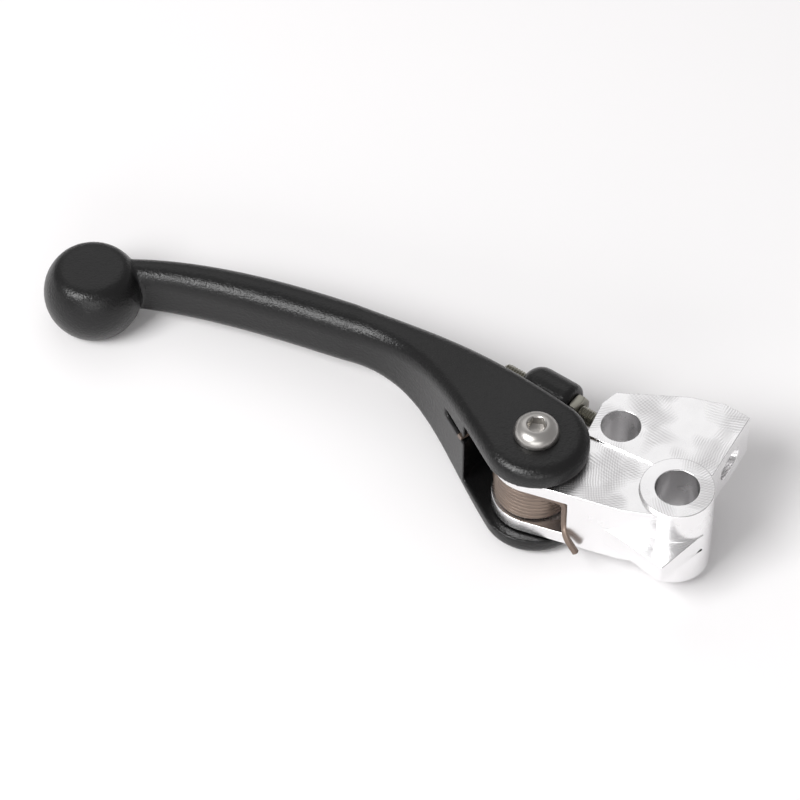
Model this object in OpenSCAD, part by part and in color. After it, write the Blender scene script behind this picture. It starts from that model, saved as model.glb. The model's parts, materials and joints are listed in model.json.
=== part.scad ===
// Folding clutch lever: a machined bracket that swings on the perch, and a
// blade that is held against an adjustable stop by a torsion spring.
// Origin: on the axis of the bracket's pivot bore, in the blade's plane of
// symmetry. +Z runs up the bore, +X is the way the pushrod leaves.

/* [Bracket] */
// Diameter of the bore for the perch's pivot bolt
bore_d = 10; // [9:0.5:11]
// Outer diameter of the boss round that bore
boss_d = 17; // [16:0.5:18]
// Height of the boss above the plane of symmetry
boss_top = 9.7; // [9.3:0.1:12]
// Depth of the boss below the plane of symmetry
boss_foot = 14.3; // [11:0.1:16]
// Distance from the pivot bore back to the fold axis, along X
fold_dx = 32.8; // [30:0.1:40]
// Distance from the pivot bore out to the fold axis, along Y
fold_dy = 6.8; // [6:0.1:8]
// Radius of the tongue round the fold axis
tongue_r = 9.8; // [9.6:0.1:10.2]
// Height of the tongue's upper face
tongue_top = 8.6; // [8:0.1:9]
// Depth of the tongue's lower face
tongue_foot = 9.2; // [8.8:0.1:9.3]
// Direction of the long wall on the open side, in degrees
wall_angle = -11.5; // [-13:0.5:-10]
// Thickness of the tail that holds the pushrod
tail_h = 12; // [10:0.5:14]
// Height of the tail's upper face
tail_top = 9.2; // [8.8:0.1:9.6]
// Length of the tail's end beyond the pivot bore
tail_x = 14.1; // [13:0.1:18]
// Depth of the tail, out to its back edge
tail_y = 27; // [26:0.1:30]
// Diameter of the bore for the pushrod's barrel
barrel_d = 9; // [8:0.5:10]
// Place of that bore along X, back from the pivot bore
barrel_dx = 14.6; // [14:0.1:16]
// Place of that bore along Y, out from the pivot bore
barrel_dy = 16.2; // [15.5:0.1:17]
// Width of the pushrod's slot
rod_slot_w = 8.5; // [7:0.5:9]
// Height of the pushrod's slot
rod_slot_h = 5; // [4.5:0.5:6]
// Place of the slot's middle along Y
rod_slot_y = 13.8; // [13:0.1:14.5]
// Reach of the beak, out from the pivot bore
beak_reach = 16; // [15:0.1:17]
// Height of the ledge on top of the beak
beak_top = 0.4; // [-1:0.1:1]
// Thickness of the beak
beak_h = 5.4; // [4.5:0.1:6]

/* [Spring pocket] */
// Height of the pocket's ceiling
pocket_top = 5.1; // [4.5:0.1:5.5]
// Depth of the pocket's floor
pocket_foot = 5.7; // [5.3:0.1:6]

/* [Torsion spring] */
// Outer diameter of the coil
coil_d = 18.4; // [16.5:0.1:18.4]
// Side of the square wire
wire = 1.4; // [1.2:0.1:1.5]
// Turns of the coil
turns = 7; // [5:1:7]

/* [Blade] */
// Distance from the fold axis back to the middle of the ball, along X
ball_dx = 109.5; // [90:0.5:140]
// Distance from the fold axis out to the middle of the ball, along Y
ball_dy = 39.1; // [36:0.1:42]
// Diameter of the ball
ball_d = 23.3; // [18:0.1:26]
// Distance between the flats of the ball
ball_flats = 16.8; // [15.5:0.1:17.5]
// Radius of the fork's ears round the fold axis
ear_r = 12.2; // [11.5:0.1:13]
// Thickness of each ear
ear_h = 5; // [4:0.1:6]
// Distance between the ears
fork_gap = 19.4; // [19.2:0.1:20.5]
// Depth of the fork, from the fold axis to its root
fork_depth = 17; // [15:0.5:18]
// Half width of the blade at its waist
waist_w = 4.9; // [4.2:0.1:6]
// Half height of the grip
grip_h = 7.5; // [6.5:0.1:8]
// Height of the saw cut that takes the spring's leg
leg_cut_h = 2; // [1.8:0.1:2.6]

/* [Stop screw] */
// Diameter of the set screw
screw_d = 4; // [4:1:5]
// Pitch of its thread
screw_pitch = 0.7; // [0.7:0.1:0.8]
// Length of the set screw
screw_l = 26; // [24:0.5:30]
// Height of its axis
screw_z = 3.2; // [3:0.1:3.6]
// Direction of the screw, in degrees
screw_angle = -28; // [-30:0.5:-26]
// Arm of the screw about the fold axis
screw_arm = 18.6; // [18:0.1:20]
// Gap between the tip and the stop face
stop_gap = 0.4; // [0.3:0.1:0.5]
// Length that stands out of the lug, from its end to the tip
screw_out = 6.9; // [6:0.1:9]
// Width of the lock nut across its flats
nut_af = 7; // [7:1:8]
// Thickness of the lock nut
nut_h = 2.2; // [2.2:0.1:3.2]
// Diameter of the blade's lug round the screw
lug_d = 11; // [9.5:0.5:12]
// Length of the lug
lug_l = 13.5; // [12:0.5:15]

/* [Pivot] */
// Diameter of the fold bolt
bolt_d = 6; // [5:1:6]
// Diameter of the bolt's button head
head_d = 10.5; // [9.5:0.5:11]
// Height of the bolt's button head
head_h = 3.3; // [2.8:0.1:3.5]
// Width of the bolt's hexagon socket
socket_af = 4; // [3:0.5:4]
// Outer diameter of the sleeve on the bolt
sleeve_d = 8.5; // [8:0.5:9]
// Outer diameter of the flanged bushes
bush_d = 11; // [10.5:0.5:12]
// Diameter of their flanges
flange_d = 17; // [15:0.5:18]

/* [Hidden] */
$fn = 64;
eps = 0.01;      // overlap that lets two solids merge
run = 0.04;      // radial running clearance
face_gap = 0.05; // clearance between faces that slide
big = 200;       // longer than anything on the lever
facets = 30;     // pieces of each half of the blade's outline

fold = [-fold_dx, fold_dy];
half_gap = fork_gap / 2;
ear_top = half_gap + ear_h;
pocket_r = coil_d / 2 + 0.3;
leg_room = 1.3;        // room beside the coil for the spring's leg
tongue_room = 1.3;     // room between the tongue and the fork's root
web_angle = 124;       // direction of the web's front face, from the fold axis
back_of_gap = 80;      // direction in which the gap ends at the back
leg_z = 4.4;           // height of the spring's leg in the blade
screw_dir = [cos(screw_angle), sin(screw_angle)];
// A point of the screw's axis beside the fold axis
screw_foot = fold + screw_arm * [-sin(screw_angle), cos(screw_angle)];
// The stop face leans by this much from the Y axis
stop_angle = 75;
stop_point = fold + [11.5, 9.2];
// Distance along the screw from its foot to the stop face
stop_normal = [sin(stop_angle), -cos(stop_angle)];
tip_s = ((stop_point - screw_foot) * stop_normal - stop_gap) / (screw_dir * stop_normal);

function unit(v) = v / norm(v);
function bez(p, t) = pow(1 - t, 3) * p[0] + 3 * pow(1 - t, 2) * t * p[1]
                   + 3 * (1 - t) * t * t * p[2] + t * t * t * p[3];
function bez_dir(p, t) = unit(pow(1 - t, 2) * (p[1] - p[0]) + 2 * (1 - t) * t * (p[2] - p[1])
                   + t * t * (p[3] - p[2]));
function left_of(v) = [-v[1], v[0]];

// Centre line of the blade from the fold axis: the fork's stretch, then the grip's
waist = [-48, 35.5];
ball = [-ball_dx, ball_dy];
fork_line = [[0, 0], [-18.5, 18.5], [-27, 30.5], waist];
grip_line = [waist, waist + [-9.5, 2.3], ball + [26.5, 6], ball + [8.5, 5.2]];
// The fork's edges leave the ears' round end at this angle to the centre line
taper = 10.5;
ear_side = ear_r / cos(taper);
fork_w = [ear_side, ear_side - tan(taper) * norm(fork_line[1]), 3.5, waist_w];
grip_w = [waist_w, waist_w + 0.2, waist_w + 0.1, 2.9];
fork_h = [ear_top, ear_top, 6.3, grip_h];
// The edges start where they leave the ears' round end
start_t = ear_r * sin(taper) / (3 * norm(fork_line[1]));
steps = [for (i = [0 : facets]) start_t + (1 - start_t) * i / facets];
// The blade's edge, side = 1 for the back edge and -1 for the front one
function edge(side) = concat(
    [for (t = steps) bez(fork_line, t) - side * bez(fork_w, t) * left_of(bez_dir(fork_line, t))],
    [for (t = [for (i = [1 : facets]) i / facets])
        bez(grip_line, t) - side * bez(grip_w, t) * left_of(bez_dir(grip_line, t))]);
// Points of an arc about a centre, from one angle to another
function arc(centre, r, a0, a1, n) = [for (i = [0 : n]) let (a = a0 + (a1 - a0) * i / n)
    centre + r * [cos(a), sin(a)]];
function reversed(list) = [for (i = [len(list) - 1 : -1 : 0]) list[i]];
// Direction from the fold axis to the ball, along which the blade's height changes
run_dir = unit(ball);
function height_points(side) = concat(
    [[-2 * ear_r, side * ear_top]],
    [for (t = steps) [bez(fork_line, t) * run_dir, side * bez(fork_h, t)]],
    [[norm(ball), side * (grip_h - 0.1)]]);

module at_fold() { translate([fold[0], fold[1], 0]) children(); }

// Lays +Z along the stop screw's axis, with its foot at the tip
module along_screw(back = 0) {
    at = screw_foot + (tip_s - back) * screw_dir;
    translate([at[0], at[1], screw_z]) rotate([0, 0, screw_angle]) rotate([0, 90, 0]) children();
}

module post(d, z0, z1) { translate([0, 0, z0]) cylinder(d = d, h = z1 - z0); }

// ---------------------------------------------------------------- bracket
out = [sin(wall_angle), -cos(wall_angle)];  // normal of the long wall, to the open side
along = [cos(wall_angle), sin(wall_angle)];

wall_start = fold + tongue_r * out;
wall_end = wall_start + (-wall_start * along - 10) * along;

module tongue_outline() {
    polygon(concat(
        [wall_end, 0.46 * boss_d * [-sin(8), -cos(8)], [2, 6], stop_point + [0.8, -3.8], stop_point + [0.1, -1.6]],
        arc(fold, tongue_r, 80, 270 + wall_angle, 40)));
}

module tail_outline() {
    up = [cos(stop_angle), sin(stop_angle)];
    polygon([[0, 4], [-8, 7], stop_point - 3.6 * up, stop_point + 6.5 * up,
             [-barrel_dx - 2.2, tail_y - 1.1], [0, tail_y], [tail_x - 6, tail_y - 0.9],
             [tail_x, tail_y - 4.1], [7.4, 4.8]]);
}

// The beak swings out of the long wall along an arc
module beak_outline() {
    tip = [-1.3, -beak_reach];
    from = wall_end - 7 * along - 0.3 * out;
    bend = [from, from + 5 * along, tip + [-6.5, 4.2], tip];
    // The right side lies along the boss
    side = atan2(tip[1], tip[0]) + acos(boss_d / 2 / norm(tip)) - 0.5;
    polygon(concat([for (i = [0 : 12]) bez(bend, i / 12)],
                   [boss_d / 2 * [cos(side), sin(side)], [0, 0], from - 6 * out]));
}

// Round at the back, square at the right end, open to the front and the left
module pocket() {
    far = 30;
    right = pocket_r + leg_room;
    at_fold() translate([0, 0, -pocket_foot]) linear_extrude(pocket_top + pocket_foot)
        polygon(concat([right * along + far * out, right * along], arc([0, 0], pocket_r, wall_angle, 90, 24),
                       [[0, far], [-far, far], [-far, -far]]));
}

module rod_slot() {
    spread = (rod_slot_w - rod_slot_h) / 2;
    translate([-barrel_dx, rod_slot_y, tail_top - tail_h / 2]) rotate([90, 0, 90]) linear_extrude(60)
        polygon(concat(arc([spread, 0], rod_slot_h / 2, -90, 90, 16),
                       arc([-spread, 0], rod_slot_h / 2, 90, 270, 16)));
}

module bracket() {
    color("gainsboro") difference() {
        union() {
            post(boss_d, -boss_foot, boss_top);
            translate([0, 0, -tongue_foot]) linear_extrude(tongue_foot + tongue_top) tongue_outline();
            translate([0, 0, tail_top - tail_h]) linear_extrude(tail_h) tail_outline();
            translate([0, 0, beak_top - beak_h]) linear_extrude(beak_h) beak_outline();
        }
        post(bore_d, -big, big);
        translate([-barrel_dx, barrel_dy, 0]) post(barrel_d, -big, big);
        at_fold() post(bush_d, -big, big);
        pocket();
        rod_slot();
    }
}

// ---------------------------------------------------------------- blade
module blade_outline() {
    bearing = atan2(fork_line[1][1], fork_line[1][0]);
    translate(fold) polygon(concat(edge(1), reversed(edge(-1)),
        arc([0, 0], ear_r, bearing + 91 - taper, bearing + 269 + taper, 40)));
}

module blade_heights() {
    at_fold() rotate([0, 0, atan2(run_dir[1], run_dir[0])]) translate([0, 80, 0]) rotate([90, 0, 0])
        linear_extrude(160) polygon(concat(height_points(1), reversed(height_points(-1))));
}

module blade_stock() {
    intersection() {
        translate([0, 0, -ear_top - 1]) linear_extrude(2 * ear_top + 2) blade_outline();
        blade_heights();
    }
}

module ball_end() {
    intersection() {
        translate([fold[0] + ball[0], fold[1] + ball[1], 0]) sphere(d = ball_d, $fn = 96);
        translate([-big, -big, -ball_flats / 2]) cube([2 * big, 2 * big, ball_flats]);
    }
}

// The fork's gap is round at the back, deeper at the front, and open to the bracket
module fork_gap_cut() {
    far = 60;
    at_fold() translate([0, 0, -half_gap]) linear_extrude(fork_gap)
        polygon(concat(arc([0, 0], tongue_r + tongue_room, back_of_gap, web_angle, 8),
                       arc([0, 0], fork_depth, web_angle, back_of_gap + 180, 32),
                       [for (a = [180, 225, 315, 360]) far * [cos(back_of_gap + a), sin(back_of_gap + a)]]));
}

module lug() {
    along_screw(screw_out + lug_l) {
        cylinder(d = lug_d, h = lug_l);
        translate([-4.5, -8.5, 0]) cube([9, 8.5, lug_l - 1]);
    }
}

module leg_cut() {
    at_fold() translate([0, 0, leg_z - leg_cut_h / 2]) rotate([0, 0, web_angle])
        translate([-2, 6, 0]) cube([24, 12, leg_cut_h]);
}

module blade() {
    color("dimgray") difference() {
        union() {
            difference() {
                union() { blade_stock(); ball_end(); }
                fork_gap_cut();
            }
            lug();
        }
        at_fold() post(bolt_d + 2 * run, -big, big);
        along_screw(2 * screw_l) cylinder(d = screw_d + 2 * run, h = 3 * screw_l);
        at_fold() post(2 * (tongue_r + tongue_room - 0.2), -half_gap + 0.5, half_gap - 0.5);
        leg_cut();
    }
}

// ---------------------------------------------------------------- pivot
module pivot_bolt() {
    r = head_d / 2;
    dome = 32;
    color("silver") at_fold() {
        post(bolt_d, -ear_top + 0.4, ear_top + eps);
        translate([0, 0, ear_top]) difference() {
            rotate_extrude() polygon(concat([[0, 0], [r - 0.2, 0], [r, 0.3]],
                [for (i = [1 : 10]) [r * cos(i * 6.5), 0.3 + (head_h - 0.3) * sin(i * 9)]], [[0, head_h]]));
            translate([0, 0, head_h - 2.4]) cylinder(d = socket_af / cos(30), h = 5, $fn = 6);
        }
    }
}

module pivot_sleeve() {
    color("slategray") at_fold() difference() {
        post(sleeve_d, -half_gap + face_gap, half_gap - face_gap);
        post(bolt_d + 2 * run, -big, big);
    }
}

// A flanged bush: its flange stands between the tongue and the ear
module flanged_bush(seat, roof, inner) {
    difference() {
        union() {
            post(bush_d, inner, seat + eps);
            post(flange_d, seat, roof - face_gap);
        }
        post(sleeve_d + 2 * run, -big, big);
    }
}

module upper_bush() { color("peru") at_fold() flanged_bush(tongue_top, half_gap, pocket_top); }

module lower_bush() {
    color("peru") at_fold() mirror([0, 0, 1]) flanged_bush(tongue_foot, half_gap, pocket_foot);
}

// ---------------------------------------------------------------- spring
coil_mid = coil_d / 2 - wire / 2;
coil_low = -pocket_foot + 0.35 + wire / 2;
coil_high = pocket_top - 0.25 - wire / 2;
leg_along = pocket_r + leg_room - wire / 2 - 0.2;
// How far the pocket's lip lies beyond the place where the leg starts to lean
over_lip = tongue_r - 1.3 - (coil_d - wire) / 2;
turn_steps = 30;
start_angle = 190;
sweep = 360 * turns + wall_angle + 270 - start_angle;
function polar(r, a, z) = [r * cos(a), r * sin(a), z];

// Points of the wire: the leg in the blade, the coil, the leg on the bracket
spring_path = concat(
    [[-18, 4.6, leg_z], [-14.6, 7.8, leg_z], [-12.1, 10.1, leg_z - 0.4], [-11.3, 10.8, leg_z - 1.8],
     [-11.1, 10.8, coil_low + 1.6], [-10.7, 9.8, coil_low + 0.3], [-9.7, 5, coil_low]],
    [for (i = [0 : turn_steps * turns]) let (k = i / (turn_steps * turns))
        polar(coil_mid, start_angle + sweep * k, coil_low + (coil_high - coil_low) * k)],
    [for (p = [[4.6, 0, 0], [leg_along - 1.3, 0, -0.3], [leg_along, 0, -1.6], [leg_along, 0, -7.1],
               [leg_along + 0.4, over_lip + 1, -8.5], [leg_along + 1.3, over_lip + 2.3, -9.5],
               [leg_along + 4, over_lip + 3, -13.1]])
        let (q = coil_mid * out + p[0] * along + p[1] * out) [q[0], q[1], coil_high + p[2]]]);

module torsion_spring() {
    n = len(spring_path);
    tangent = [for (i = [0 : n - 1])
        unit(spring_path[min(i + 1, n - 1)] - spring_path[max(i - 1, 0)])];
    // Outward direction of the section: radial, kept square to the wire
    outward = [for (i = [0 : n - 1])
        let (p = spring_path[i], r = i < 7 ? [-0.9, 0.4, 0] : i > n - 7 ? [out[0], out[1], 0]
             : unit([p[0], p[1], 0]))
        unit(r - (r * tangent[i]) * tangent[i])];
    ring = [for (i = [0 : n - 1]) let (a = outward[i] * wire / 2, b = cross(tangent[i], outward[i]) * wire / 2)
        [spring_path[i] + a + b, spring_path[i] + a - b, spring_path[i] - a - b, spring_path[i] - a + b]];
    points = [for (r = ring) for (p = r) p];
    faces = concat([[0, 1, 2, 3]],
        [for (i = [0 : n - 2]) for (k = [0 : 3])
            [4 * i + k, 4 * (i + 1) + k, 4 * (i + 1) + (k + 1) % 4, 4 * i + (k + 1) % 4]],
        [[4 * n - 1, 4 * n - 2, 4 * n - 3, 4 * n - 4]]);
    color("rosybrown") at_fold() polyhedron(points, faces);
}

// ---------------------------------------------------------------- stop screw
module threaded_rod(d, pitch, length) {
    root = d / 2 - 0.6 * pitch;
    count = floor((length - 1.6) / pitch);
    rotate_extrude() polygon(concat(
        [[0, 0], [root, 0]],
        [for (i = [0 : count - 1]) for (p = [[root, 0.8 + i * pitch], [d / 2, 0.8 + (i + 0.5) * pitch]]) p],
        [[root, length - 0.8], [root - 0.3, length], [0, length]]));
}

module stop_screw() {
    color("darkkhaki") along_screw(screw_l) difference() {
        threaded_rod(screw_d, screw_pitch, screw_l);
        translate([0, 0, -eps]) cylinder(d = 2 / cos(30), h = 2.5, $fn = 6);
    }
}

module lock_nut() {
    color("darkkhaki") along_screw(screw_out - face_gap) difference() {
        intersection() {
            cylinder(d = nut_af / cos(30), h = nut_h, $fn = 6);
            rotate_extrude() polygon([[0, 0], [nut_af / 2 - 0.1, 0], [nut_af / 2 + 0.6, 0.4],
                [nut_af / 2 + 0.6, nut_h - 0.4], [nut_af / 2 - 0.1, nut_h], [0, nut_h]]);
        }
        translate([0, 0, -1]) cylinder(d = screw_d + 2 * run, h = nut_h + 2);
    }
}

bracket();
blade();
pivot_bolt();
pivot_sleeve();
upper_bush();
lower_bush();
torsion_spring();
stop_screw();
lock_nut();
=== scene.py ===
import json
import logging
import math
from dataclasses import dataclass, field
from enum import Enum

import bmesh
import bpy
import numpy as np
from mathutils import Matrix, Vector


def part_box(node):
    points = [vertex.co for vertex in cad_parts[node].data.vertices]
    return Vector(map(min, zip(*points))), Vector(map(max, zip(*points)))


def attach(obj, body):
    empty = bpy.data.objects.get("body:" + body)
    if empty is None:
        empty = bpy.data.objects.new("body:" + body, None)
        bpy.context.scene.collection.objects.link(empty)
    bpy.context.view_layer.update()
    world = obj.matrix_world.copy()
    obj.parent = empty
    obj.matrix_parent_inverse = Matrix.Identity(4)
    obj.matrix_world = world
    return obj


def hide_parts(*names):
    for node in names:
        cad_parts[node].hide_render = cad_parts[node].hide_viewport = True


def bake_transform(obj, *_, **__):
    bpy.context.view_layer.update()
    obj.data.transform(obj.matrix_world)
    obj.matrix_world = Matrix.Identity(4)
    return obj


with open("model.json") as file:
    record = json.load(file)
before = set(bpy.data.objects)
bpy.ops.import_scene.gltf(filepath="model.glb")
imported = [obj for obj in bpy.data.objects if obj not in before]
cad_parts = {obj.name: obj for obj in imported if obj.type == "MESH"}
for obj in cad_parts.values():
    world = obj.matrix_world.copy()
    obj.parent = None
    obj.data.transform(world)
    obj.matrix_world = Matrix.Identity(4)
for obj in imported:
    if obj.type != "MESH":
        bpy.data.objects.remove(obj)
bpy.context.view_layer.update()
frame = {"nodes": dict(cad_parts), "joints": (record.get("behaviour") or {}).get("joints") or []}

MM = 0.001
THROUGH = 60.0  # a height that passes through every piece
OVERLAP = 0.02  # how far two forms reach into each other before they are joined
log = logging.getLogger("clutch_lever")

Point = tuple[float, ...]
Points = list[Point]
Faces = list[list[int]]


class Body(Enum):
    """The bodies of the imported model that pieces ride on."""

    BRACKET = "bracket"
    BLADE = "blade"
    LOCK_NUT = "lock_nut"
    STOP_SCREW = "stop_screw"


class Slot(Enum):
    """The record's material slots."""

    ALUMINIUM = "machined_aluminium"
    ANODISED = "black_anodised"
    STAINLESS = "stainless_steel"
    SPRING = "spring_steel"
    ZINC = "zinc_steel"


# ------------------------------------------------------------------ curves

def polar(radius: float, degrees: float) -> np.ndarray:
    """The point at a radius and an angle, in the plane."""
    return radius * np.array([math.cos(math.radians(degrees)), math.sin(math.radians(degrees))])


def arc(centre: np.ndarray, radius: float, start: float, end: float, count: int) -> list[np.ndarray]:
    """Points along an arc.

    Args:
        centre: the arc's centre.
        radius: its radius.
        start: the first point's angle, in degrees.
        end: the last point's angle.
        count: how many steps lie between them.

    Returns:
        count + 1 points in the plane.
    """
    return [centre + polar(radius, start + (end - start) * i / count) for i in range(count + 1)]


def bezier(controls: list, t: float) -> np.ndarray | float:
    """The point, or the number, at t on a cubic curve with four controls."""
    a, b, c, d = controls
    return (1 - t) ** 3 * a + 3 * (1 - t) ** 2 * t * b + 3 * (1 - t) * t * t * c + t ** 3 * d


def bezier_direction(controls: list[np.ndarray], t: float) -> np.ndarray:
    """The unit direction of travel at t on a cubic curve."""
    a, b, c, d = controls
    return unit((1 - t) ** 2 * (b - a) + 2 * (1 - t) * t * (c - b) + t * t * (d - c))


def unit(v: np.ndarray) -> np.ndarray:
    """v at length 1."""
    return v / np.linalg.norm(v)


def rounded_rectangle(half_width: float, half_height: float, radius: float, steps: int) -> Points:
    """The outline of a rectangle with round corners, counter-clockwise from its right side.

    Args:
        half_width: half the size along the first axis.
        half_height: half the size along the second axis.
        radius: the corners' radius.
        steps: the steps in each corner.

    Returns:
        4 * (steps + 1) points.
    """
    found = []
    for corner, (side_x, side_y) in enumerate([(1, 1), (-1, 1), (-1, -1), (1, -1)]):
        centre = np.array([side_x * (half_width - radius), side_y * (half_height - radius)])
        found += arc(centre, radius, 90 * corner, 90 * corner + 90, steps)
    return [tuple(p) for p in found]


def softened(points: Points, radius: float, steps: int = 6) -> list[np.ndarray]:
    """A path whose corners are rounded.

    Args:
        points: the corners of the path, in space.
        radius: how far from a corner its bend starts.
        steps: the steps in each bend.

    Returns:
        the path's points, with the two ends kept.
    """
    corners = [np.array(p, float) for p in points]
    path = [corners[0]]
    for before, at, after in zip(corners, corners[1:], corners[2:]):
        enter = at + unit(before - at) * min(radius, 0.48 * np.linalg.norm(before - at))
        leave = at + unit(after - at) * min(radius, 0.48 * np.linalg.norm(after - at))
        for i in range(steps + 1):
            t = i / steps
            path.append((1 - t) ** 2 * enter + 2 * (1 - t) * t * at + t * t * leave)
    return path + [corners[-1]]


# ------------------------------------------------------------------ solid forms

class Form:
    """A closed mesh in the making. Its points are given in millimetres and kept in metres."""

    def __init__(self, name: str, points: list, faces: Faces) -> None:
        """Makes the mesh and turns its faces outwards.

        Args:
            name: the piece's name.
            points: its corners, in millimetres.
            faces: each face's corners.
        """
        mesh = bpy.data.meshes.new(name)
        mesh.from_pydata([tuple(MM * float(c) for c in p) for p in points], [], faces)
        build = bmesh.new()
        build.from_mesh(mesh)
        bmesh.ops.remove_doubles(build, verts=build.verts, dist=1e-8)
        bmesh.ops.recalc_face_normals(build, faces=build.faces)
        build.to_mesh(mesh)
        build.free()
        self.obj = bpy.data.objects.new(name, mesh)
        bpy.context.scene.collection.objects.link(self.obj)

    def moved(self, place: Matrix) -> "Form":
        """Moves the mesh by a matrix in metres."""
        self.obj.data.transform(place)
        return self

    def shaped(self, kind: str, **settings: object) -> "Form":
        """Runs one modifier on the mesh and keeps its result.

        Args:
            kind: the modifier's type.
            settings: the modifier's own settings.

        Returns:
            this form.
        """
        modifier = self.obj.modifiers.new(kind.lower(), kind)
        for key, value in settings.items():
            setattr(modifier, key, value)
        bpy.context.view_layer.update()
        graph = bpy.context.evaluated_depsgraph_get()
        mesh = bpy.data.meshes.new_from_object(self.obj.evaluated_get(graph), depsgraph=graph)
        self.obj.modifiers.clear()
        self.obj.data = mesh
        return self

    def _combined(self, other: "Form", operation: str) -> "Form":
        """Combines this form with another one, which is used up."""
        self.shaped("BOOLEAN", object=other.obj, operation=operation, solver="EXACT")
        bpy.data.objects.remove(other.obj)
        return self

    def __or__(self, other: "Form") -> "Form":
        """This form and the other as one solid."""
        return self._combined(other, "UNION")

    def __sub__(self, other: "Form") -> "Form":
        """This form with the other cut out of it."""
        return self._combined(other, "DIFFERENCE")

    def __and__(self, other: "Form") -> "Form":
        """What this form and the other have in common."""
        return self._combined(other, "INTERSECT")

    def cleaned(self, dissolve_degrees: float = 0.4) -> "Form":
        """Merges the corners and flat neighbours that cutting leaves behind."""
        build = bmesh.new()
        build.from_mesh(self.obj.data)
        bmesh.ops.remove_doubles(build, verts=build.verts, dist=0.004 * MM)
        bmesh.ops.dissolve_limit(
            build, angle_limit=math.radians(dissolve_degrees), verts=build.verts, edges=build.edges
        )
        build.to_mesh(self.obj.data)
        build.free()
        return self

    def broken_edges(self, width: float, degrees: float = 32, segments: int = 2) -> "Form":
        """Breaks the sharp edges.

        Args:
            width: the width of the broken edge, in millimetres.
            degrees: edges that turn more than this are broken.
            segments: the steps across the broken edge.

        Returns:
            this form.
        """
        return self.shaped(
            "BEVEL", width=width * MM, segments=segments, limit_method="ANGLE",
            angle_limit=math.radians(degrees), use_clamp_overlap=False, miter_outer="MITER_ARC",
        )

    def flat_faced(self, sharp: float) -> "Form":
        """Lets the large faces set the shading of the broken edges beside them.

        Args:
            sharp: edges that turn more than this stay sharp, in degrees.

        Returns:
            this form.
        """
        self.obj.data.shade_smooth()
        self.obj.data.set_sharp_from_angle(angle=math.radians(sharp))
        return self.shaped("WEIGHTED_NORMAL", weight=100, keep_sharp=True)

    def flowed(self, voxel: float, passes: int, keep: float) -> "Form":
        """Melts the solids together into one skin with soft inner corners.

        Args:
            voxel: the size of the skin's faces, in millimetres.
            passes: how often the skin is smoothed.
            keep: the share of the faces that stay.

        Returns:
            this form.
        """
        self.shaped("REMESH", mode="VOXEL", voxel_size=voxel * MM)
        self.shaped("SMOOTH", factor=0.5, iterations=passes)
        return self.shaped("DECIMATE", ratio=keep)

    def piece(self, body: Body, slot: Slot, finish: bpy.types.Material, *stands_for: str,
              sharp: float | None = 35) -> bpy.types.Object:
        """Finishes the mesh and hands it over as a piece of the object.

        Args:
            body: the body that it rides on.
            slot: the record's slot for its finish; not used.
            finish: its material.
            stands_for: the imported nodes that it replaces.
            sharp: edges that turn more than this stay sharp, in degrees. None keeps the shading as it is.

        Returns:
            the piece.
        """
        dress(self.obj, finish, sharp)
        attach(self.obj, body.value)
        return declare(self.obj, slot, *stands_for)


def dress(obj: bpy.types.Object, finish: bpy.types.Material, sharp: float | None = 35) -> None:
    """Gives an object one material, and smooth shading up to its sharp edges."""
    obj.data.materials.clear()
    obj.data.materials.append(finish)
    if sharp is not None:
        obj.data.shade_smooth()
        obj.data.set_sharp_from_angle(angle=math.radians(sharp))


def declare(obj: bpy.types.Object, slot: Slot, *stands_for: str) -> bpy.types.Object:
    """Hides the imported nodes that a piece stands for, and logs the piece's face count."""
    if stands_for:
        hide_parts(*stands_for)
    log.info("piece %s: %d faces", obj.name, len(obj.data.polygons))
    return obj


def prism(name: str, outline: list, low: float, high: float) -> Form:
    """An outline raised from one height to another.

    Args:
        name: the form's name.
        outline: its corners in the plane.
        low: the lower face's height.
        high: the upper face's height.

    Returns:
        the form.
    """
    n = len(outline)
    points = [(p[0], p[1], z) for z in (low, high) for p in outline]
    sides = [[i, (i + 1) % n, n + (i + 1) % n, n + i] for i in range(n)]
    return Form(name, points, [list(range(n))[::-1], list(range(n, 2 * n)), *sides])


def lathe(name: str, profile: Points, count: int = 96) -> Form:
    """A profile turned about the upright axis.

    Args:
        name: the form's name.
        profile: (radius, height) pairs, from the foot to the top, that start and end on the axis.
        count: the steps in one turn.

    Returns:
        the form.
    """
    rings = [[(*polar(r, 360 * i / count), z) for i in range(count)] for r, z in profile[1:-1]]
    points = [p for ring in rings for p in ring]
    foot, top = len(points), len(points) + 1
    points += [(0, 0, profile[0][1]), (0, 0, profile[-1][1])]
    last = (len(rings) - 1) * count
    faces = skin(len(rings), count)
    faces += [[foot, (i + 1) % count, i] for i in range(count)]
    faces += [[top, last + i, last + (i + 1) % count] for i in range(count)]
    return Form(name, points, faces)


def skin(rings: int, count: int) -> Faces:
    """The faces between neighbouring rings of count points each."""
    return [
        [r * count + i, r * count + (i + 1) % count, (r + 1) * count + (i + 1) % count, (r + 1) * count + i]
        for r in range(rings - 1) for i in range(count)
    ]


def loft(name: str, rings: list[list]) -> Form:
    """A skin over rings of equal length, closed at both ends."""
    count = len(rings[0])
    points = [p for ring in rings for p in ring]
    last = (len(rings) - 1) * count
    caps = [list(range(count))[::-1], list(range(last, last + count))]
    return Form(name, points, skin(len(rings), count) + caps)


def post(name: str, centre: Point, radius: float, low: float, high: float, count: int = 96) -> Form:
    """An upright cylinder."""
    return prism(name, arc(np.array(centre), radius, 0, 360 * (1 - 1 / count), count - 1), low, high)


def hexagon(name: str, across: float, low: float, high: float) -> Form:
    """An upright hexagonal bar, by its width across flats."""
    return post(name, (0, 0), across / 2 / math.cos(math.pi / 6), low, high, 6)


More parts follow.
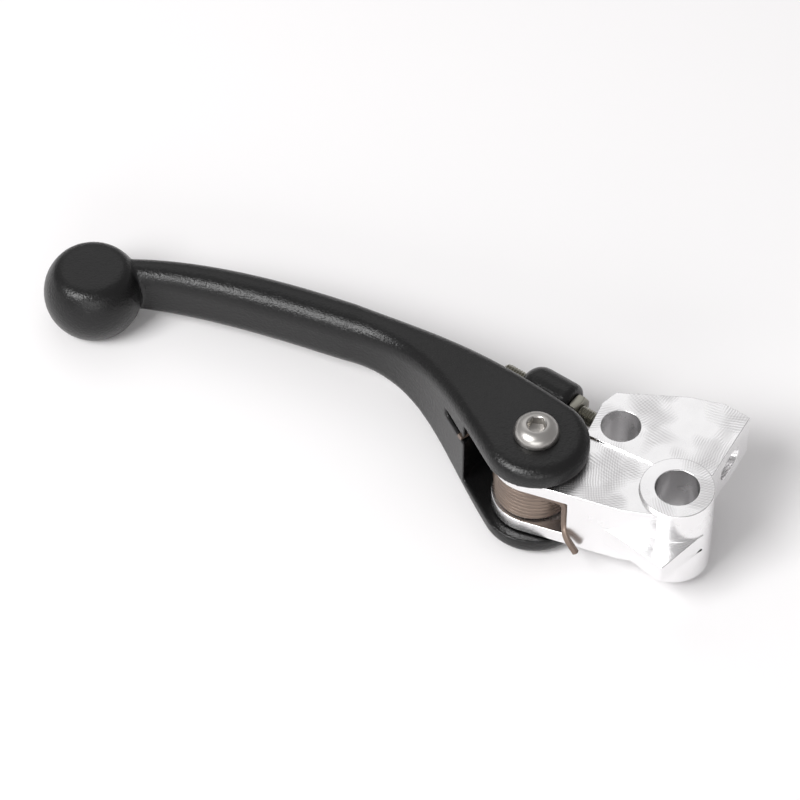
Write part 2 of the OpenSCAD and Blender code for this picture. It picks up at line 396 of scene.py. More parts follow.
def wire_along(name: str, path: list[np.ndarray], outward: list[np.ndarray], side: float) -> Form:
    """A square wire with round corners along a path.

    Args:
        name: the form's name.
        path: the wire's middle line.
        outward: one direction for each point, which one side of the section faces.
        side: the width of the wire.

    Returns:
        the form.
    """
    section = rounded_rectangle(side / 2, side / 2, side * 0.3, 3)
    rings = []
    for i, at in enumerate(path):
        along = unit(path[min(i + 1, len(path) - 1)] - path[max(i - 1, 0)])
        out = unit(outward[i] - (outward[i] @ along) * along)
        across = np.cross(along, out)
        rings.append([tuple(at + a * out + b * across) for a, b in section])
    return loft(name, rings)


# ------------------------------------------------------------------ finishes

class Value:
    """A shader socket that takes part in Python sums. Each operator adds its Math node."""

    def __init__(self, shader: "Shader", socket: bpy.types.NodeSocket) -> None:
        """Wraps a socket of a shader."""
        self.shader = shader
        self.socket = socket

    def _math(self, operation: str, first: object, second: object) -> "Value":
        """Adds a Math node for two values or numbers."""
        node = self.shader.node("ShaderNodeMath", {"operation": operation}, {0: first, 1: second})
        return Value(self.shader, node.outputs[0])

    def __add__(self, other: object) -> "Value":
        """This value plus another."""
        return self._math("ADD", self, other)

    def __sub__(self, other: object) -> "Value":
        """This value less another."""
        return self._math("SUBTRACT", self, other)

    def __rsub__(self, other: float) -> "Value":
        """A number less this value."""
        return self._math("SUBTRACT", other, self)

    def __mul__(self, other: object) -> "Value":
        """This value times another."""
        return self._math("MULTIPLY", self, other)

    __radd__ = __add__
    __rmul__ = __mul__

    def above(self, edge: float) -> "Value":
        """1 where this value is greater than an edge, and 0 elsewhere."""
        return self._math("GREATER_THAN", self, edge)

    def ramp(self, low: float, high: float) -> "Value":
        """This value, stretched so that low becomes 0 and high becomes 1, and clamped."""
        node = self.shader.node(
            "ShaderNodeMapRange", {"clamp": True}, {"Value": self, "From Min": low, "From Max": high}
        )
        return Value(self.shader, node.outputs["Result"])


class Shader:
    """A material with one Principled shader, and short ways to add nodes to it."""

    def __init__(self, name: str) -> None:
        """Makes an empty material.

        Args:
            name: the material's name.
        """
        self.material = bpy.data.materials.new(name)
        self.material.use_nodes = True
        self.tree = self.material.node_tree
        self.surface = self.tree.nodes["Principled BSDF"]
        self.place = self.node("ShaderNodeTexCoord").outputs["Object"]

    def node(self, kind: str, settings: dict | None = None, inputs: dict | None = None) -> bpy.types.Node:
        """Adds a node.

        Args:
            kind: the node's type.
            settings: its properties, which are set first.
            inputs: what its sockets take, by name or number: a number, a colour, a socket or a Value.

        Returns:
            the node.
        """
        made = self.tree.nodes.new(kind)
        for key, value in (settings or {}).items():
            setattr(made, key, value)
        for key, value in (inputs or {}).items():
            self.feed(made.inputs[key], value)
        return made

    def feed(self, socket: bpy.types.NodeSocket, value: object) -> None:
        """Links a value to a socket, or sets the socket to a constant."""
        if isinstance(value, Value):
            value = value.socket
        if isinstance(value, bpy.types.NodeSocket):
            self.tree.links.new(value, socket)
        else:
            socket.default_value = value

    def noise(self, scale: float, detail: float = 2.0, stretch: Point = (1, 1, 1),
              offset: Point = (0, 0, 0)) -> Value:
        """Smooth noise over the surface.

        Args:
            scale: its frequency, per metre.
            detail: how many finer layers it has.
            stretch: factors on each axis before the noise is taken.
            offset: where the pattern starts.

        Returns:
            the noise, from 0 to 1.
        """
        mapped = self.node(
            "ShaderNodeMapping", None, {"Vector": self.place, "Scale": stretch, "Location": offset})
        made = self.node(
            "ShaderNodeTexNoise", None, {"Vector": mapped.outputs[0], "Scale": scale, "Detail": detail}
        )
        return Value(self, made.outputs["Fac"])

    def rings(self, centre: Point, scale: float, wobble: float) -> Value:
        """Round tool marks about an upright axis.

        Args:
            centre: where the axis stands, in metres.
            scale: the rings' frequency.
            wobble: how uneven they are.

        Returns:
            the rings, from 0 to 1.
        """
        shifted = self.node(
            "ShaderNodeMapping", None, {"Vector": self.place, "Location": [-c for c in centre]})
        made = self.node(
            "ShaderNodeTexWave", {"wave_type": "RINGS", "rings_direction": "Z", "wave_profile": "SIN"},
            {"Vector": shifted.outputs[0], "Scale": scale, "Distortion": wobble, "Detail": 1.5,
             "Detail Scale": 1.2},
        )
        return Value(self, made.outputs["Fac"])

    def tint(self, amount: Value, low: Point, high: Point) -> bpy.types.NodeSocket:
        """A colour between two others."""
        mix = self.node("ShaderNodeMix", {"data_type": "RGBA"}, {0: amount, 6: (*low, 1), 7: (*high, 1)})
        return mix.outputs[2]

    def bump(self, height: Value, strength: float, depth: float) -> bpy.types.NodeSocket:
        """A normal that is tilted by a height.

        Args:
            height: the height, from 0 to 1.
            strength: how much of the tilt shows.
            depth: what a height of 1 stands for, in millimetres.

        Returns:
            the normal.
        """
        made = self.node(
            "ShaderNodeBump", None, {"Height": height, "Strength": strength, "Distance": depth * MM}
        )
        return made.outputs["Normal"]

    def set(self, **inputs: object) -> None:
        """Feeds the Principled shader. A socket's name has its spaces written as underscores."""
        for key, value in inputs.items():
            self.feed(self.surface.inputs[key.replace("_", " ")], value)


@dataclass(frozen=True)
class GrainedMetal:
    """A plain metal with a fine grain, which wears a little lighter and darker in patches."""

    name: str
    colour: Point
    patch: Point
    roughness: float
    spread: float = 0.1
    grain: float = 2500
    depth: float = 0.01
    metallic: float = 1.0

    def material(self) -> bpy.types.Material:
        """Makes the material."""
        shader = Shader(self.name)
        patches = shader.noise(180, 3)
        grain = shader.noise(self.grain, 2)
        shader.set(
            Base_Color=shader.tint(patches.ramp(0.3, 0.7), self.colour, self.patch),
            Roughness=patches * self.spread + (self.roughness - self.spread / 2),
            Normal=shader.bump(grain, 0.35, self.depth),
            Metallic=self.metallic,
        )
        return shader.material


@dataclass(frozen=True)
class MilledAluminium:
    """Bright bare aluminium with a fly cutter's overlapping swirls on its upper faces."""

    name: str = "milled_aluminium"
    bright: Point = (0.93, 0.925, 0.93)
    dull: Point = (0.74, 0.73, 0.735)
    roughness: float = 0.24
    swirls: tuple = ((0.012, 0.047, 0), (-0.026, 0.038, 0), (0.031, 0.006, 0))

    def material(self) -> bpy.types.Material:
        """Makes the material."""
        shader = Shader(self.name)
        upward = Value(shader, shader.node(
            "ShaderNodeSeparateXYZ", None,
            {0: shader.node("ShaderNodeNewGeometry").outputs["Normal"]}).outputs["Z"]).above(0.95)
        marks = 0.0
        for i, centre in enumerate(self.swirls):
            shown = shader.noise(95, 1.5, offset=(0.1 * i, 0.3, 0.7 * i)).ramp(0.52, 0.62)
            marks = marks + shader.rings(centre, 420 + 60 * i, 2.4) * shown
        swirl = marks * upward
        cloud = shader.noise(120, 3)
        drag = shader.noise(900, 2, stretch=(1, 1, 0.06))
        shader.set(
            Base_Color=shader.tint((swirl * 0.55 + cloud * 0.25).ramp(0, 1), self.bright, self.dull),
            Roughness=swirl * 0.16 + cloud * 0.12 + (self.roughness - 0.04),
            Normal=shader.bump(swirl * 0.7 + drag * 0.3, 0.3, 0.03),
            Metallic=1.0,
        )
        return shader.material


@dataclass(frozen=True)
class BlackAnodised:
    """Bead-blasted aluminium under a satin black anodic film."""

    name: str = "satin_black"
    colour: Point = (0.003, 0.003, 0.0033)
    worn: Point = (0.005, 0.0049, 0.005)
    roughness: float = 0.31

    def material(self) -> bpy.types.Material:
        """Makes the material."""
        shader = Shader(self.name)
        beads = shader.noise(2300, 2.5)
        coarse = shader.noise(1100, 1)
        cloud = shader.noise(70, 2)
        shader.set(
            Base_Color=shader.tint(cloud.ramp(0.3, 0.7), self.colour, self.worn),
            Roughness=beads * 0.14 + (self.roughness - 0.07),
            Normal=shader.bump(beads * 0.65 + coarse * 0.35, 1.0, 0.16),
            Metallic=0.0,
        )
        shader.surface.inputs["Specular IOR Level"].default_value = 0.42
        return shader.material


# ------------------------------------------------------------------ shared places

@dataclass(frozen=True)
class Layout:
    """Places that several sub-assemblies share, in millimetres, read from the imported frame."""

    fold: np.ndarray
    screw_middle: np.ndarray
    screw_axis: np.ndarray
    ear_top: float
    boss_top: float
    boss_foot: float

    @classmethod
    def read(cls) -> "Layout":
        """Reads the joints and the nodes' boxes."""
        joints = {j["name"]: j for j in frame["joints"]}
        low, high = (np.array(corner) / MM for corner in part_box("stop_screw"))
        foot, top = (corner.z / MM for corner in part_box("bracket"))
        # The nut turns about the screw's own axis, and the box only tells how far along it the middle is
        on_axis = np.array(joints["lock_nut_turn"]["pos_m"]) / MM
        axis = unit(np.array(joints["lock_nut_turn"]["axis"], float))
        return cls(
            fold=np.array(joints["fold"]["pos_m"][:2]) / MM,
            screw_middle=on_axis + (((low + high) / 2 - on_axis) @ axis) * axis,
            screw_axis=axis,
            ear_top=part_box("blade")[1].z / MM,
            boss_top=top,
            boss_foot=foot,
        )

    def along_screw(self, shift: float) -> Matrix:
        """The place whose upright axis lies along the stop screw.

        Args:
            shift: how far its foot lies beyond the screw's middle, towards the tip, in millimetres.

        Returns:
            the matrix, in metres.
        """
        at = self.screw_middle + shift * self.screw_axis
        turn = Vector(self.screw_axis).to_track_quat("Z", "Y").to_matrix().to_4x4()
        return Matrix.Translation(Vector(at) * MM) @ turn

    def at_fold(self, height: float = 0.0) -> Matrix:
        """The place on the fold axis at a height."""
        return Matrix.Translation(Vector((*self.fold, height)) * MM)


# ------------------------------------------------------------------ bracket

@dataclass
class Bracket:
    """The machined bracket: boss, tongue with the spring's pocket, tail and beak."""

    layout: Layout
    bore_radius: float = 5.0
    boss_radius: float = 8.5
    bush_radius: float = 5.5
    tongue_radius: float = 9.8
    tongue_top: float = 8.6
    tongue_foot: float = -9.2
    wall_angle: float = -11.5
    tail_top: float = 9.2
    tail_thick: float = 12.0
    tail_x: float = 14.1
    tail_y: float = 27.0
    barrel_radius: float = 4.5
    barrel: Point = (-14.6, 16.2)
    slot_size: Point = (8.5, 5.0)
    slot_y: float = 13.8
    beak_reach: float = 16.0
    beak_top: float = 0.4
    beak_thick: float = 5.4
    pocket_top: float = 5.1
    pocket_foot: float = -5.7
    pocket_radius: float = 9.5
    leg_room: float = 1.3
    stop_point: Point = (-21.3, 16.0)
    stop_angle: float = 75.0
    edge: float = 0.22
    along: np.ndarray = field(init=False)
    out: np.ndarray = field(init=False)

    def __post_init__(self) -> None:
        """Works out the long wall's directions."""
        self.along = polar(1, self.wall_angle)
        self.out = polar(1, self.wall_angle - 90)

    def wall_end(self) -> np.ndarray:
        """Where the long wall meets the boss."""
        start = self.layout.fold + self.tongue_radius * self.out
        return start + (-start @ self.along - 10) * self.along

    def tongue(self) -> Form:
        """The plate that the fork takes."""
        stop = np.array(self.stop_point)
        outline = [self.wall_end(), 0.46 * 2 * self.boss_radius * -polar(1, 82), np.array([2.0, 6.0]),
                   np.array([-20.5, 12.2]), stop + [0.1, -1.6]]
        outline += arc(self.layout.fold, self.tongue_radius, 80, 270 + self.wall_angle, 60)
        return prism("tongue", outline, self.tongue_foot, self.tongue_top)

    def tail(self) -> Form:
        """The plate that holds the pushrod's barrel."""
        stop = np.array(self.stop_point)
        outline = [(0, 4), (-8, 7), stop - polar(3.6, self.stop_angle), stop + polar(6.5, self.stop_angle),
                   (self.barrel[0] - 2.2, self.tail_y - 1.1), (0, self.tail_y),
                   (self.tail_x - 6, self.tail_y - 0.9), (self.tail_x, self.tail_y - 4.1), (7.4, 4.8)]
        return prism("tail", outline, self.tail_top - self.tail_thick, self.tail_top)

    def beak(self) -> Form:
        """The beak, which swings out of the long wall and runs back along the boss."""
        tip = np.array([-1.3, -self.beak_reach])
        start = self.wall_end() - 7 * self.along - 0.3 * self.out
        bend = [start, start + 5 * self.along, tip + [-6.5, 4.2], tip]
        lean = math.degrees(math.atan2(tip[1], tip[0]) + math.acos(self.boss_radius / np.linalg.norm(tip)))
        outline = [bezier(bend, i / 24) for i in range(25)]
        outline += [polar(self.boss_radius, lean - 0.5), (0, 0), start - 6 * self.out]
        return prism("beak", outline, self.beak_top - self.beak_thick, self.beak_top)

    def pocket(self) -> Form:
        """The room for the spring."""
        far = 30
        right = self.pocket_radius + self.leg_room
        outline = [right * self.along + far * self.out, right * self.along]
        outline += arc(np.zeros(2), self.pocket_radius, self.wall_angle, 90, 40)
        outline += [np.array([0, far]), np.array([-far, far]), np.array([-far, -far])]
        return prism("pocket", [self.layout.fold + p for p in outline], self.pocket_foot, self.pocket_top)

    def rod_slot(self) -> Form:
        """The slot that the pushrod leaves through."""
        width, height = self.slot_size
        section = rounded_rectangle(width / 2, height / 2, height / 2 - 0.01, 12)
        middle = self.tail_top - self.tail_thick / 2
        rings = [[(x, self.slot_y + a, middle + b) for a, b in section] for x in (self.barrel[0], 40)]
        return loft("rod_slot", rings)

    def build(self, metal: bpy.types.Material) -> bpy.types.Object:
        """Machines the bracket."""
        boss = post("bracket_body", (0, 0), self.boss_radius, self.layout.boss_foot, self.layout.boss_top)
        body = boss | self.tongue() | self.tail() | self.beak()
        body -= post("bore", (0, 0), self.bore_radius, -THROUGH, THROUGH)
        body -= post("barrel_bore", self.barrel, self.barrel_radius, -THROUGH, THROUGH)
        body -= post("bush_seat", self.layout.fold, self.bush_radius, -THROUGH, THROUGH)
        body = (body - self.pocket() - self.rod_slot()).cleaned().broken_edges(self.edge)
        return body.flat_faced(46).piece(Body.BRACKET, Slot.ALUMINIUM, metal, "bracket", sharp=None)


# ------------------------------------------------------------------ blade

@dataclass
class Blade:
    """The black blade: fork, grip, ball end and the stop screw's lug."""

    layout: Layout
    ear_radius: float = 12.2
    ear_round: float = 2.9
    taper: float = 10.5
    fork_gap: float = 19.4
    fork_depth: float = 17.0
    tongue_room: float = 11.1
    web_angle: float = 124.0
    gap_back: float = 80.0
    waist_width: float = 4.9
    grip_height: float = 7.5
    ball: Point = (-109.5, 39.1)
    ball_radius: float = 11.65
    ball_flat: float = 8.4
    bolt_radius: float = 3.04
    screw_radius: float = 2.04
    lug_radius: float = 5.5
    lug_length: float = 13.5
    screw_out: float = 6.9
    screw_length: float = 26.0
    leg_height: float = 4.4
    leg_cut: float = 2.0
    voxel: float = 0.36

    def fork_line(self) -> list[np.ndarray]:
        """The fork's middle line, from the fold axis to the waist."""
        return [np.array(p, float) for p in ((0, 0), (-18.5, 18.5), (-27, 30.5), (-48, 35.5))]

    def grip_line(self) -> list[np.ndarray]:
        """The grip's middle line, from the waist into the ball."""
        waist = self.fork_line()[3]
        ball = np.array(self.ball)
        return [waist, waist + [-9.5, 2.3], ball + [26.5, 6], ball + [4.5, 3.4]]

    def section(self, line: list, widths: list, heights: list, radii: list, t: float) -> list:
        """One cross-section of the stock.

        Args:
            line: the middle line's controls.
            widths: the half width's controls.
            heights: the half height's controls.
            radii: the edge radius's controls.
            t: the place on the line.

        Returns:
            the section's points in space.
        """
        at = self.layout.fold + bezier(line, t)
        direction = bezier_direction(line, t)
        side = np.array([-direction[1], direction[0]])
        outline = rounded_rectangle(bezier(widths, t), bezier(heights, t), bezier(radii, t), 7)
        return [(*(at - a * side), b) for a, b in outline]

    def stock(self) -> Form:
        """The blade without its ears' round ends and its ball."""
        tilt = math.radians(self.taper)
        side = self.ear_radius / math.cos(tilt)
        lead = float(np.linalg.norm(self.fork_line()[1]))
        start = self.ear_radius * math.sin(tilt) / (3 * lead)
        top = self.layout.ear_top
        fork_width = [side, side - math.tan(tilt) * lead, 3.5, self.waist_width]
        fork_height = [top, top, 6.3, self.grip_height]
        fork_radii = [self.ear_round, self.ear_round, 3.4, 4.5]
        grip_width = [self.waist_width, self.waist_width + 0.2, self.waist_width + 0.1, 2.9]
        grip_height = [self.grip_height, self.grip_height, self.grip_height, self.grip_height - 0.8]
        grip_radii = [4.5, 4.7, 4.7, 2.7]
        rings = [self.section(self.fork_line(), fork_width, fork_height, fork_radii,
                              start + (1 - start) * i / 48) for i in range(49)]
        rings += [self.section(self.grip_line(), grip_width, grip_height, grip_radii, i / 48)
                  for i in range(1, 49)]
        return loft("blade_body", rings)

    def ears(self) -> Form:
        """The ears' round end, before the gap is cut."""
        top, radius, edge = self.layout.ear_top, self.ear_radius, self.ear_round
        rounding = arc(np.array([radius - edge, top - edge]), edge, 0, 90, 8)
        upper = [tuple(p) for p in rounding]
        lower = [(r, -z) for r, z in reversed(upper)]
        disc = lathe("ears", [(0, -top), *lower, *upper, (0, top)], 120)
        reach, split = 2 * radius, radius * math.sin(math.radians(self.taper))
        cut = split + OVERLAP
        keep = prism("ears_half", [(-reach, -reach), (cut, -reach), (cut, reach), (-reach, reach)],
                     -reach, reach)
        turn = Matrix.Rotation(math.atan2(*self.fork_line()[1][::-1]), 4, "Z")
        return (disc & keep).moved(self.layout.at_fold() @ turn)

    def ball_end(self) -> Form:
        """The ball, with its flats."""
        radius, flat = self.ball_radius, self.ball_flat
        turn_in = 38.0
        last = polar(radius, turn_in)
        corner = np.array([math.sqrt(radius ** 2 - flat ** 2), flat])
        inner = np.array([corner[0] - 1.9, flat])
        upper = [tuple(p) for p in arc(np.zeros(2), radius, 0, turn_in, 16)]
        upper += [tuple((1 - t) ** 2 * last + 2 * (1 - t) * t * corner + t * t * inner)
                  for t in (0.2, 0.4, 0.6, 0.8, 1.0)]
        lower = [(r, -z) for r, z in reversed(upper[1:])]
        centre = Vector((*(self.layout.fold + np.array(self.ball)), 0)) * MM
        return lathe("ball", [(0, -flat), *lower, *upper, (0, flat)], 96).moved(Matrix.Translation(centre))

    def lug(self) -> Form:
        """The barrel that the stop screw runs through, and the web under it."""
        radius, length = self.lug_radius, self.lug_length
        rear = arc(np.array([radius - 4.2, 4.2]), 4.2, -90, 0, 10)
        front = arc(np.array([radius - 1.6, length - 1.6]), 1.6, 0, 90, 6)
        barrel = lathe("lug", [(0, 0), *[tuple(p) for p in rear + front], (0, length)], 64)
        web = prism("lug_web", [(-4.2, -8.5), (4.2, -8.5), (4.6, 0), (-4.6, 0)], 1.4, length - 1.2)
        web.moved(Matrix.Rotation(self.web_turn(), 4, "Z"))
        return (barrel | web).moved(self.layout.along_screw(self.screw_length / 2 - self.screw_out - length))

    def web_turn(self) -> float:
        """The turn that lays the lug's web towards the fold axis."""
        towards = self.layout.along_screw(0).to_3x3().inverted() @ Vector(
            (*(self.layout.fold - self.layout.screw_middle[:2]), 0))
        return math.atan2(towards.y, towards.x) + math.pi / 2

    def gap(self) -> Form:
        """The room between the ears."""
        far = 60
        outline = arc(np.zeros(2), self.tongue_room, self.gap_back, self.web_angle, 14)
        outline += arc(np.zeros(2), self.fork_depth, self.web_angle, self.gap_back + 180, 48)
        outline += [polar(far, self.gap_back + a) for a in (180, 225, 315, 360)]
        half = self.fork_gap / 2
        return prism("gap", [self.layout.fold + p for p in outline], -half, half)

    def leg_slit(self) -> Form:
        """The saw cut that takes the spring's leg."""
        turn = Matrix.Rotation(math.radians(self.web_angle), 4, "Z")
        box = prism("leg_slit", [(-2, 6), (22, 6), (22, 18), (-2, 18)], -self.leg_cut / 2, self.leg_cut / 2)
        return box.moved(self.layout.at_fold(self.leg_height) @ turn)

    def build(self, finish: bpy.types.Material) -> bpy.types.Object:
        """Shapes the blade."""
        clear = self.tongue_room - 0.2
        inner = self.fork_gap / 2 - 0.5
        body = (self.stock() | self.ears() | self.ball_end()) - self.gap()
        body = body | self.lug()
        body -= post("bolt_bore", self.layout.fold, self.bolt_radius, -THROUGH, THROUGH)
        screw_hole = post("screw_hole", (0, 0), self.screw_radius, -THROUGH, THROUGH)
        body -= screw_hole.moved(self.layout.along_screw(0))
        body -= post("lug_relief", self.layout.fold, clear, -inner, inner)
        body = (body - self.leg_slit()).flowed(self.voxel, 9, 0.45)
        return body.piece(Body.BLADE, Slot.ANODISED, finish, "blade", sharp=60)


# ------------------------------------------------------------------ fasteners

def thread_radius(crest: float, pitch: float, turn: float, height: float) -> float:
    """The radius of a screw's surface.

    Args:
        crest: the radius at the thread's crest.
        pitch: the thread's pitch.
        turn: the angle about the axis, in turns.
        height: the height along the axis.

    Returns:
        the radius there.
    """
    phase = (height / pitch - turn) % 1
    depth = 0.6 * pitch
    return crest - depth * min(1.0, max(0.0, abs(2 * phase - 1) * 1.35 - 0.18))


@dataclass
class StopScrew:
    """The set screw that the blade rests on the bracket with, and its lock nut."""

    layout: Layout
    radius: float = 2.0
    pitch: float = 0.7
    length: float = 26.0
    socket: float = 2.0
    socket_depth: float = 2.5
    chamfer: float = 0.6
    nut_across: float = 7.0
    nut_height: float = 2.2
    screw_out: float = 6.9
    clearance: float = 0.05

    def screw(self, metal: bpy.types.Material) -> bpy.types.Object:
        """The screw, with a true helical thread."""
        count, per_pitch = 40, 10
        rows = int(self.length / self.pitch * per_pitch)
        rings = []
        for row in range(rows + 1):
            z = self.length * row / rows
            end = min(z, self.length - z)
            limit = self.radius - max(0.0, self.chamfer - end)
            rings.append([(*polar(min(limit, thread_radius(self.radius, self.pitch, i / count, z)),
                                  360 * i / count), z) for i in range(count)])
        body = loft("stop_screw_body", rings)
        body -= hexagon("screw_socket", self.socket, -1, self.socket_depth)
        body.moved(self.layout.along_screw(-self.length / 2))
        return body.piece(Body.STOP_SCREW, Slot.ZINC, metal, "stop_screw", sharp=28)

    def nut(self, metal: bpy.types.Material) -> bpy.types.Object:
        """The lock nut, chamfered on both faces."""
        across, high = self.nut_across, self.nut_height
        body = hexagon("lock_nut_body", across, 0, high)
        body &= lathe("nut_cone", [(0, 0), (across / 2 - 0.1, 0), (across / 2 + 0.6, 0.42),
                                   (across / 2 + 0.6, high - 0.42), (across / 2 - 0.1, high), (0, high)])
        body -= post("nut_bore", (0, 0), self.radius + 0.04, -1, high + 1, 48)
        body = body.cleaned().broken_edges(0.08)
        body.moved(self.layout.along_screw(self.length / 2 - self.screw_out + self.clearance))
        return body.piece(Body.LOCK_NUT, Slot.ZINC, metal, "lock_nut")


@dataclass
class PivotBolt:
    """The button-head bolt on the fold axis."""

    layout: Layout
    shank_radius: float = 3.0
    head_radius: float = 5.25
    head_height: float = 3.3
    rim: float = 0.35
    socket: float = 4.0
    socket_depth: float = 2.4
    pitch: float = 1.0
    threaded: float = 5.0
    end_gap: float = 0.4

    def head(self, metal: bpy.types.Material) -> bpy.types.Object:
        """The domed head with its hexagon socket."""
        radius, high = self.head_radius, self.head_height
        flat = radius * 0.44
        dome = [(flat + (radius - flat) * math.cos(math.radians(a)),
                 self.rim + (high - self.rim) * math.sin(math.radians(a))) for a in range(0, 91, 6)]
        body = lathe("pivot_bolt_head", [(0, 0), (radius - 0.15, 0), (radius, 0.12), *dome, (0, high)])
        cone = lathe("socket_cone", [(0, high - 0.28), (self.socket / 2 + 0.1, high - 0.28),
                                     (self.socket / 2 + 0.75, high + 0.4), (0, high + 1)])
        body -= hexagon("head_socket", self.socket, high - self.socket_depth, high + 1)
        body = (body - cone).cleaned(0.2).broken_edges(0.07, 40)
        body.moved(self.layout.at_fold(self.layout.ear_top))
        return body.piece(Body.BLADE, Slot.STAINLESS, metal, "pivot_bolt")

    def shank(self, metal: bpy.types.Material) -> bpy.types.Object:
        """The shank, threaded where it screws into the lower ear."""
        count, per_pitch = 48, 10
        low, high = -self.layout.ear_top + self.end_gap, self.layout.ear_top
        rows = int(self.threaded / self.pitch * per_pitch)
        heights = [self.threaded * row / rows for row in range(rows + 1)] + [self.threaded + 0.4, high - low]
        rings = []
        for z in heights:
            chamfered = self.shank_radius - max(0.0, 0.5 - z)
            radii = [min(chamfered, thread_radius(self.shank_radius, self.pitch, i / count, z))
                     if z <= self.threaded else self.shank_radius for i in range(count)]
            rings.append([(*polar(radii[i], 360 * i / count), z) for i in range(count)])
        body = loft("pivot_bolt_shank", rings).moved(self.layout.at_fold(low))
        return body.piece(Body.BLADE, Slot.STAINLESS, metal, sharp=28)


# ------------------------------------------------------------------ spring

@dataclass
class TorsionSpring:
    """The spring round the sleeve: a coil, a leg on the bracket and a leg in the blade."""

    layout: Layout
    bracket: Bracket
    radius: float = 8.5
    wire: float = 1.4
    turns: int = 7
    low: float = -4.65
    high: float = 4.15
    start: float = 190.0
    steps: int = 48
    leg_height: float = 4.4

    def sweep(self) -> float:
        """The coil's whole turn, in degrees."""
        return 360 * self.turns + self.bracket.wall_angle + 270 - self.start

    def coil_path(self) -> list[np.ndarray]:
        """The coil's middle line about the fold axis."""
        count = self.steps * self.turns
        return [np.array([*polar(self.radius, self.start + self.sweep() * i / count),
                          self.low + (self.high - self.low) * i / count]) for i in range(count + 1)]

    def bracket_leg_path(self) -> list[np.ndarray]:
        """The leg from the coil's top end, down in the pocket's corner and out over its lip."""
        reach = self.bracket.pocket_radius + self.bracket.leg_room - self.wire / 2 - 0.2
        corners = []
        for along, out, down in ((0, 0, 0), (reach, 0, -0.1), (reach, 0, -7.4),
                                 (reach + 1.2, 2.3, -9.4), (reach + 4, 3, -13.1)):
            flat = (self.radius + out) * self.bracket.out + along * self.bracket.along
            corners.append((*flat, self.high + down))
        return softened(corners, 1.9, 8)

    def blade_leg_path(self) -> list[np.ndarray]:
        """The leg from the coil's bottom end, up behind the coil and into the blade's saw cut."""
        first = self.coil_path()[0]
        corners = [tuple(first), (-10.9, 11.2, self.low), (-11.3, 11.0, self.leg_height),
                   (-18, 4.6, self.leg_height)]
        return softened(corners, 1.7, 8)

    def build(self, metal: bpy.types.Material) -> list[bpy.types.Object]:
        """Winds the spring."""
        place = self.layout.at_fold()
        coil_path = self.coil_path()
        radial = [np.array([p[0], p[1], 0]) for p in coil_path]
        coil = wire_along("spring_coil", coil_path, radial, self.wire).moved(place)
        dress(coil.obj, metal)
        fold = tuple(self.layout.fold * MM)
        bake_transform(coil.obj, "bracket", "sleeve",
                 start=(*fold, self.high * MM), end=(*fold, self.low * MM))
        pieces = [declare(coil.obj, Slot.SPRING, "torsion_spring")]
        leg_path = self.bracket_leg_path()
        outward = [np.array([*self.bracket.out, 0.35])] * len(leg_path)
        leg = wire_along("spring_leg_on_bracket", leg_path, outward, self.wire).moved(place)
        pieces.append(leg.piece(Body.BRACKET, Slot.SPRING, metal))
        leg_path = self.blade_leg_path()
        outward = [np.array([-0.9, 0.4, 0.15])] * len(leg_path)
        leg = wire_along("spring_leg_in_blade", leg_path, outward, self.wire).moved(place)
        pieces.append(leg.piece(Body.BLADE, Slot.SPRING, metal))
        return pieces


# ------------------------------------------------------------------ studio

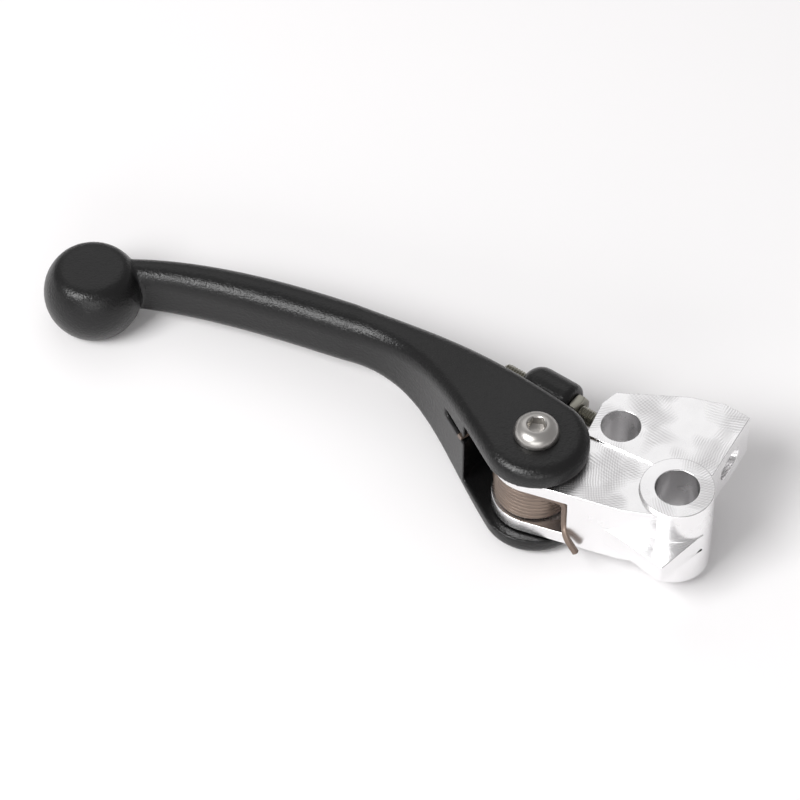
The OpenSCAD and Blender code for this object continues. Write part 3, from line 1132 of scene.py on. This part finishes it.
@dataclass
class Studio:
    """A pale floor, soft lights and the camera."""

    layout: Layout
    azimuth: float = 8.5
    elevation: float = 50.5
    distance: float = 1006.0
    lens: float = 202.5
    sensor: float = 36.0
    aim_right: float = -62.04
    aim_up: float = 19.56
    floor_size: float = 6000.0
    floor_colour: Point = (0.94, 0.93, 0.933)
    world_colour: Point = (1.0, 0.985, 0.99)
    world_strength: float = 0.38

    def camera(self) -> None:
        """Places the camera, level and without shift."""
        a, e = math.radians(self.azimuth), math.radians(self.elevation)
        right = np.array([math.cos(a), math.sin(a), 0])
        forward = np.array([-math.sin(a) * math.cos(e), math.cos(a) * math.cos(e), -math.sin(e)])
        up = np.cross(right, forward)
        aim = np.array([0, 0, self.layout.boss_top]) + self.aim_right * right + self.aim_up * up
        data = bpy.data.cameras.new("camera")
        data.lens = self.lens
        data.sensor_width = self.sensor
        data.clip_end = 20
        cam = bpy.data.objects.new("camera", data)
        cam.matrix_world = Matrix.Translation(Vector(aim - self.distance * forward) * MM) @ Matrix(
            (right, up, -forward)).transposed().to_4x4()
        bpy.context.scene.collection.objects.link(cam)
        bpy.context.scene.camera = cam

    def floor(self, ball: Point, ball_foot: float) -> None:
        """Lays the floor under the three lowest points of the lever.

        Args:
            ball: where the ball stands about the fold axis.
            ball_foot: how far below the blade's middle its foot is.
        """
        run = np.array([*ball, self.layout.ear_top - ball_foot])
        half = self.floor_size / 2
        sheet = Form("floor", [(-half, -half, 0), (half, -half, 0), (half, half, 0), (-half, half, 0)],
                     [[0, 1, 2, 3]])
        level = Vector(unit(np.array([run[0], run[1], 0])))
        along = Vector(unit(run))
        turn = level.rotation_difference(along).to_matrix().to_4x4()
        sheet.moved(self.layout.at_fold(-self.layout.ear_top - 0.05) @ turn)
        shader = Shader("pale_floor")
        shader.set(Base_Color=(*self.floor_colour, 1), Roughness=0.75)
        dress(sheet.obj, shader.material)

    def softbox(self, name: str, azimuth: float, elevation: float, distance: float, size: Point,
                power: float, colour: Point = (1, 1, 1)) -> None:
        """Hangs one soft light that looks at the lever.

        Args:
            name: the light's name.
            azimuth: its bearing from the lever, measured as the camera's is.
            elevation: its height above the horizon, in degrees.
            distance: how far away it hangs, in metres.
            size: its width and height, in metres.
            power: its power, in watts.
            colour: its colour.
        """
        data = bpy.data.lights.new(name, "AREA")
        data.shape = "RECTANGLE"
        data.size, data.size_y = size
        data.energy = power
        data.color = colour
        a, e = math.radians(azimuth), math.radians(elevation)
        away = Vector((math.sin(a) * math.cos(e), -math.cos(a) * math.cos(e), math.sin(e)))
        target = Vector((-0.05, 0.01, 0))
        lamp = bpy.data.objects.new(name, data)
        lamp.location = target + distance * away
        lamp.rotation_mode = "QUATERNION"
        lamp.rotation_quaternion = away.to_track_quat("Z", "Y")
        bpy.context.scene.collection.objects.link(lamp)

    def build(self, blade: Blade) -> None:
        """Sets up the stage."""
        self.camera()
        self.floor(blade.ball, blade.ball_flat)
        world = bpy.data.worlds.new("studio")
        world.use_nodes = True
        background = world.node_tree.nodes["Background"]
        background.inputs["Color"].default_value = (*self.world_colour, 1)
        background.inputs["Strength"].default_value = self.world_strength
        bpy.context.scene.world = world
        bpy.context.scene.view_settings.view_transform = "Standard"
        self.softbox("key", -46, 47, 1.5, (0.75, 0.75), 20)
        self.softbox("front", 4, 20, 1.2, (1.0, 0.35), 3.6)
        self.softbox("back", 196, 47, 1.1, (0.9, 0.6), 1.2)


# ------------------------------------------------------------------ assembly

def dress_packed_nodes(sleeve: bpy.types.Material, bronze: bpy.types.Material) -> None:
    """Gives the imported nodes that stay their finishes."""
    for name, finish in (("pivot_sleeve", sleeve), ("upper_bush", bronze), ("lower_bush", bronze)):
        node = frame["nodes"][name]
        node.data.materials.clear()
        node.data.materials.append(finish)


def main() -> None:
    """Builds the lever, sub-assembly by sub-assembly."""
    logging.basicConfig(level=logging.INFO, format="%(name)s: %(message)s")
    aluminium = MilledAluminium().material()
    black = BlackAnodised().material()
    stainless = GrainedMetal("brushed_stainless", (0.54, 0.525, 0.505), (0.46, 0.445, 0.425), 0.34).material()
    zinc = GrainedMetal("zinc_plate", (0.36, 0.35, 0.305), (0.28, 0.27, 0.23), 0.36).material()
    spring_steel = GrainedMetal(
        "spring_brown", (0.24, 0.185, 0.15), (0.18, 0.138, 0.115), 0.4, metallic=0.75).material()
    sleeve_steel = GrainedMetal("ground_steel", (0.5, 0.5, 0.51), (0.45, 0.45, 0.46), 0.25).material()
    bronze = GrainedMetal("bush_bronze", (0.45, 0.3, 0.17), (0.38, 0.25, 0.14), 0.35).material()

    layout = Layout.read()
    bracket = Bracket(layout)
    bracket.build(aluminium)
    blade = Blade(layout)
    blade.build(black)
    screw = StopScrew(layout)
    screw.screw(zinc)
    screw.nut(zinc)
    bolt = PivotBolt(layout)
    bolt.head(stainless)
    bolt.shank(stainless)
    TorsionSpring(layout, bracket).build(spring_steel)
    dress_packed_nodes(sleeve_steel, bronze)
    Studio(layout).build(blade)


if __name__ == "__main__":
    main()
